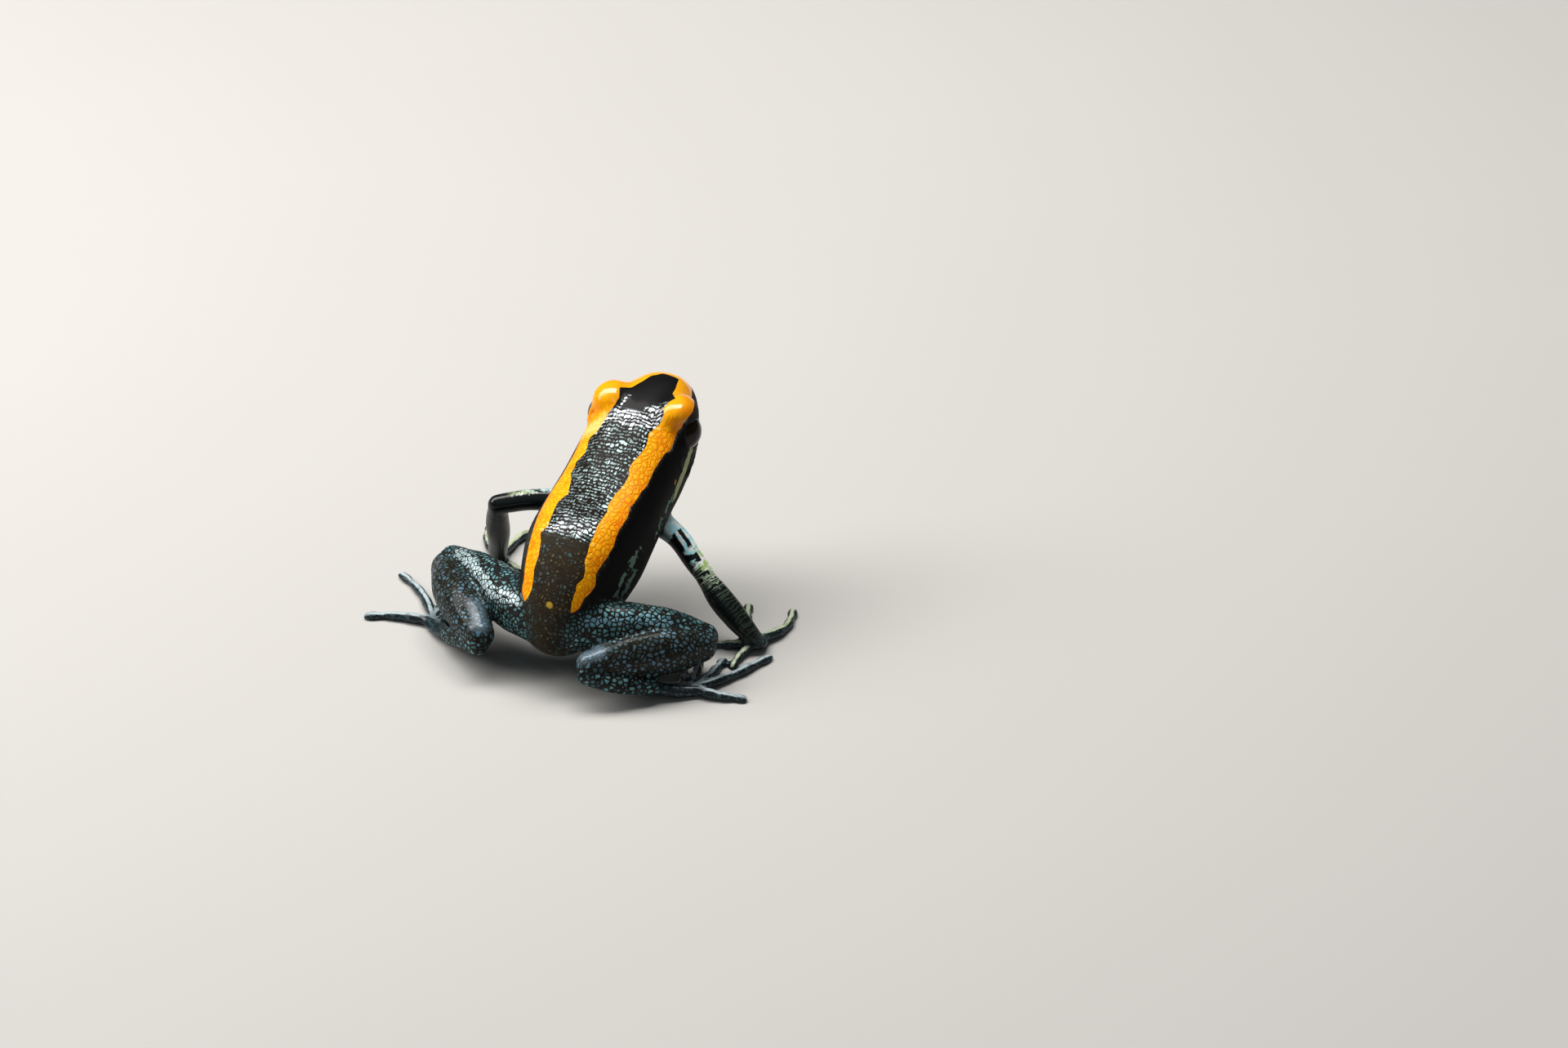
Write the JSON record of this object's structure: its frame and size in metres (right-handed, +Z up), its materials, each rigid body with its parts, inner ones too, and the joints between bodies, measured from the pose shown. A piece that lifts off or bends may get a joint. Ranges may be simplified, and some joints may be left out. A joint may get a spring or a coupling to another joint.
{
  "type": "golfodulcean poison frog",
  "caption": "Life-size still model of a golfodulcean poison frog sitting with its chest raised, in named body parts, resting on its palms, soles and digits.",
  "frame": {"origin": "middle of the whole footprint, on the surface it rests on", "axes": "+X to the frog's left, -Y towards its snout, +Z up"},
  "size_m": [0.0348, 0.0272, 0.0178],
  "materials": {
    "back_skin": "wet granular black skin with two orange stripes",
    "chin_skin": "wet black skin mottled pale blue-green",
    "limb_skin": "wet black skin with dense turquoise granules",
    "eye": "glossy near-black eye"
  },
  "bodies": {
    "root": {"head": "back_skin", "lower_jaw": "chin_skin", "torso": "back_skin", "eye_left": "eye", "upper_arm_left": "limb_skin", "forearm_left": "limb_skin", "hand_left": "limb_skin", "thigh_left": "limb_skin", "shank_left": "limb_skin", "tarsus_left": "limb_skin", "foot_left": "limb_skin", "eye_right": "eye", "upper_arm_right": "limb_skin", "forearm_right": "limb_skin", "hand_right": "limb_skin", "thigh_right": "limb_skin", "shank_right": "limb_skin", "tarsus_right": "limb_skin", "foot_right": "limb_skin"}
  },
  "joints": []
}
